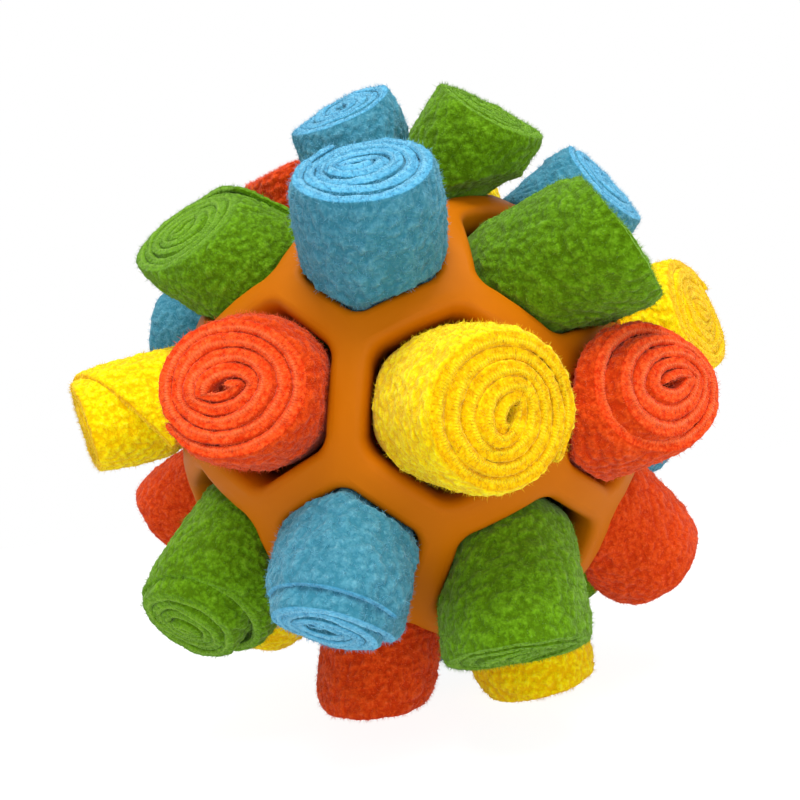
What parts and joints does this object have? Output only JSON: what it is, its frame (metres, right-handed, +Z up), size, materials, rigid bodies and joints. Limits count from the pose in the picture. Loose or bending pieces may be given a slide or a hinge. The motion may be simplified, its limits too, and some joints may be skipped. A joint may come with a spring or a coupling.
{
  "type": "snuffle ball",
  "caption": "Moulded rubber lattice ball whose hexagonal and pentagonal openings are stuffed with rolled fleece strips that pull out, for hiding dry treats.",
  "frame": {"origin": "on the surface the ball stands on, under the middle of its bounding box", "axes": "+Z up; -Y towards the side the picture shows; +X to that view's right"},
  "size_m": [0.1504, 0.144, 0.1426],
  "materials": {
    "ochre_rubber": "satin moulded rubber, smooth, with softly rounded lips",
    "blue_fleece": "pilled polyester fleece with a short fuzzy nap",
    "green_fleece": "pilled polyester fleece with a short fuzzy nap",
    "red_fleece": "pilled polyester fleece with a short fuzzy nap",
    "yellow_fleece": "pilled polyester fleece with a short fuzzy nap"
  },
  "bodies": {
    "ball": {"rubber_lattice_ball": "ochre_rubber"},
    "blue_fleece_roll_1": {"blue_fleece_roll_1": "blue_fleece"},
    "blue_fleece_roll_2": {"blue_fleece_roll_2": "blue_fleece"},
    "blue_fleece_roll_3": {"blue_fleece_roll_3": "blue_fleece"},
    "blue_fleece_roll_4": {"blue_fleece_roll_4": "blue_fleece"},
    "blue_fleece_roll_5": {"blue_fleece_roll_5": "blue_fleece"},
    "blue_fleece_roll_6": {"blue_fleece_roll_6": "blue_fleece"},
    "blue_fleece_roll_7": {"blue_fleece_roll_7": "blue_fleece"},
    "blue_fleece_roll_8": {"blue_fleece_roll_8": "blue_fleece"},
    "blue_fleece_roll_9": {"blue_fleece_roll_9": "blue_fleece"},
    "green_fleece_roll_1": {"green_fleece_roll_1": "green_fleece"},
    "green_fleece_roll_2": {"green_fleece_roll_2": "green_fleece"},
    "green_fleece_roll_3": {"green_fleece_roll_3": "green_fleece"},
    "green_fleece_roll_4": {"green_fleece_roll_4": "green_fleece"},
    "green_fleece_roll_5": {"green_fleece_roll_5": "green_fleece"},
    "green_fleece_roll_6": {"green_fleece_roll_6": "green_fleece"},
    "green_fleece_roll_7": {"green_fleece_roll_7": "green_fleece"},
    "green_fleece_roll_8": {"green_fleece_roll_8": "green_fleece"},
    "red_fleece_roll_1": {"red_fleece_roll_1": "red_fleece"},
    "red_fleece_roll_2": {"red_fleece_roll_2": "red_fleece"},
    "red_fleece_roll_3": {"red_fleece_roll_3": "red_fleece"},
    "red_fleece_roll_4": {"red_fleece_roll_4": "red_fleece"},
    "red_fleece_roll_5": {"red_fleece_roll_5": "red_fleece"},
    "red_fleece_roll_6": {"red_fleece_roll_6": "red_fleece"},
    "red_fleece_roll_7": {"red_fleece_roll_7": "red_fleece"},
    "red_fleece_roll_8": {"red_fleece_roll_8": "red_fleece"},
    "yellow_fleece_roll_1": {"yellow_fleece_roll_1": "yellow_fleece"},
    "yellow_fleece_roll_2": {"yellow_fleece_roll_2": "yellow_fleece"},
    "yellow_fleece_roll_3": {"yellow_fleece_roll_3": "yellow_fleece"},
    "yellow_fleece_roll_4": {"yellow_fleece_roll_4": "yellow_fleece"},
    "yellow_fleece_roll_5": {"yellow_fleece_roll_5": "yellow_fleece"},
    "yellow_fleece_roll_6": {"yellow_fleece_roll_6": "yellow_fleece"},
    "yellow_fleece_roll_7": {"yellow_fleece_roll_7": "yellow_fleece"},
    "yellow_fleece_roll_8": {"yellow_fleece_roll_8": "yellow_fleece"}
  },
  "joints": [
    {"name": "pull_out_blue_fleece_roll_1", "type": "slide", "parent": "ball", "child": "blue_fleece_roll_1", "axis": [-0.0731, -0.8541, 0.5149], "range_m": [0, 0.03]},
    {"name": "pull_out_blue_fleece_roll_2", "type": "slide", "parent": "ball", "child": "blue_fleece_roll_2", "axis": [-0.2806, -0.81, -0.5149], "range_m": [0, 0.03]},
    {"name": "pull_out_blue_fleece_roll_3", "type": "slide", "parent": "ball", "child": "blue_fleece_roll_3", "axis": [0.6716, -0.1427, 0.7271], "range_m": [0, 0.03]},
    {"name": "pull_out_blue_fleece_roll_4", "type": "slide", "parent": "ball", "child": "blue_fleece_roll_4", "axis": [-0.8245, 0.1753, 0.538], "range_m": [0, 0.03]},
    {"name": "pull_out_blue_fleece_roll_5", "type": "slide", "parent": "ball", "child": "blue_fleece_roll_5", "axis": [0.2806, 0.81, 0.5149], "range_m": [0, 0.03]},
    {"name": "pull_out_blue_fleece_roll_6", "type": "slide", "parent": "ball", "child": "blue_fleece_roll_6", "axis": [0.9243, 0.341, -0.1716], "range_m": [0, 0.03]},
    {"name": "pull_out_blue_fleece_roll_7", "type": "slide", "parent": "ball", "child": "blue_fleece_roll_7", "axis": [0.0731, 0.8541, -0.5149], "range_m": [0, 0.03]},
    {"name": "pull_out_blue_fleece_roll_8", "type": "slide", "parent": "ball", "child": "blue_fleece_roll_8", "axis": [-0.1102, 0.3882, -0.915], "range_m": [0, 0.03]},
    {"name": "pull_out_blue_fleece_roll_9", "type": "slide", "parent": "ball", "child": "blue_fleece_roll_9", "axis": [0.1102, -0.3882, 0.915], "range_m": [0, 0.03]},
    {"name": "pull_out_green_fleece_roll_1", "type": "slide", "parent": "ball", "child": "green_fleece_roll_1", "axis": [0.547, -0.7065, 0.449], "range_m": [0, 0.03]},
    {"name": "pull_out_green_fleece_roll_2", "type": "slide", "parent": "ball", "child": "green_fleece_roll_2", "axis": [0.3191, -0.6581, -0.682], "range_m": [0, 0.03]},
    {"name": "pull_out_green_fleece_roll_3", "type": "slide", "parent": "ball", "child": "green_fleece_roll_3", "axis": [-0.5592, -0.4714, 0.682], "range_m": [0, 0.03]},
    {"name": "pull_out_green_fleece_roll_4", "type": "slide", "parent": "ball", "child": "green_fleece_roll_4", "axis": [-0.7871, -0.4229, -0.449], "range_m": [0, 0.03]},
    {"name": "pull_out_green_fleece_roll_5", "type": "slide", "parent": "ball", "child": "green_fleece_roll_5", "axis": [0.5592, 0.4714, -0.682], "range_m": [0, 0.03]},
    {"name": "pull_out_green_fleece_roll_6", "type": "slide", "parent": "ball", "child": "green_fleece_roll_6", "axis": [-0.3191, 0.6581, 0.682], "range_m": [0, 0.03]},
    {"name": "pull_out_green_fleece_roll_7", "type": "slide", "parent": "ball", "child": "green_fleece_roll_7", "axis": [-0.547, 0.7065, -0.449], "range_m": [0, 0.03]},
    {"name": "pull_out_green_fleece_roll_8", "type": "slide", "parent": "ball", "child": "green_fleece_roll_8", "axis": [0.1102, -0.3882, 0.915], "range_m": [0, 0.03]},
    {"name": "pull_out_red_fleece_roll_1", "type": "slide", "parent": "ball", "child": "red_fleece_roll_1", "axis": [-0.5361, -0.8411, 0.072], "range_m": [0, 0.03]},
    {"name": "pull_out_red_fleece_roll_2", "type": "slide", "parent": "ball", "child": "red_fleece_roll_2", "axis": [0.7056, -0.6875, -0.1716], "range_m": [0, 0.03]},
    {"name": "pull_out_red_fleece_roll_3", "type": "slide", "parent": "ball", "child": "red_fleece_roll_3", "axis": [0.8245, -0.1753, -0.538], "range_m": [0, 0.03]},
    {"name": "pull_out_red_fleece_roll_4", "type": "slide", "parent": "ball", "child": "red_fleece_roll_4", "axis": [-0.2586, -0.3098, -0.915], "range_m": [0, 0.03]},
    {"name": "pull_out_red_fleece_roll_5", "type": "slide", "parent": "ball", "child": "red_fleece_roll_5", "axis": [-0.9654, 0.2052, -0.161], "range_m": [0, 0.03]},
    {"name": "pull_out_red_fleece_roll_6", "type": "slide", "parent": "ball", "child": "red_fleece_roll_6", "axis": [-0.3358, 0.0714, 0.9392], "range_m": [0, 0.03]},
    {"name": "pull_out_red_fleece_roll_7", "type": "slide", "parent": "ball", "child": "red_fleece_roll_7", "axis": [0.7871, 0.4229, 0.449], "range_m": [0, 0.03]},
    {"name": "pull_out_red_fleece_roll_8", "type": "slide", "parent": "ball", "child": "red_fleece_roll_8", "axis": [-0.1476, 0.9864, 0.072], "range_m": [0, 0.03]},
    {"name": "pull_out_yellow_fleece_roll_1", "type": "slide", "parent": "ball", "child": "yellow_fleece_roll_1", "axis": [0.1476, -0.9864, -0.072], "range_m": [0, 0.03]},
    {"name": "pull_out_yellow_fleece_roll_2", "type": "slide", "parent": "ball", "child": "yellow_fleece_roll_2", "axis": [0.9654, -0.2052, 0.161], "range_m": [0, 0.03]},
    {"name": "pull_out_yellow_fleece_roll_3", "type": "slide", "parent": "ball", "child": "yellow_fleece_roll_3", "axis": [-0.9243, -0.341, 0.1716], "range_m": [0, 0.03]},
    {"name": "pull_out_yellow_fleece_roll_4", "type": "slide", "parent": "ball", "child": "yellow_fleece_roll_4", "axis": [0.3358, -0.0714, -0.9392], "range_m": [0, 0.03]},
    {"name": "pull_out_yellow_fleece_roll_5", "type": "slide", "parent": "ball", "child": "yellow_fleece_roll_5", "axis": [-0.6716, 0.1427, -0.7271], "range_m": [0, 0.03]},
    {"name": "pull_out_yellow_fleece_roll_6", "type": "slide", "parent": "ball", "child": "yellow_fleece_roll_6", "axis": [0.2586, 0.3098, 0.915], "range_m": [0, 0.03]},
    {"name": "pull_out_yellow_fleece_roll_7", "type": "slide", "parent": "ball", "child": "yellow_fleece_roll_7", "axis": [-0.7056, 0.6875, 0.1716], "range_m": [0, 0.03]},
    {"name": "pull_out_yellow_fleece_roll_8", "type": "slide", "parent": "ball", "child": "yellow_fleece_roll_8", "axis": [0.5361, 0.8411, -0.072], "range_m": [0, 0.03]}
  ]
}
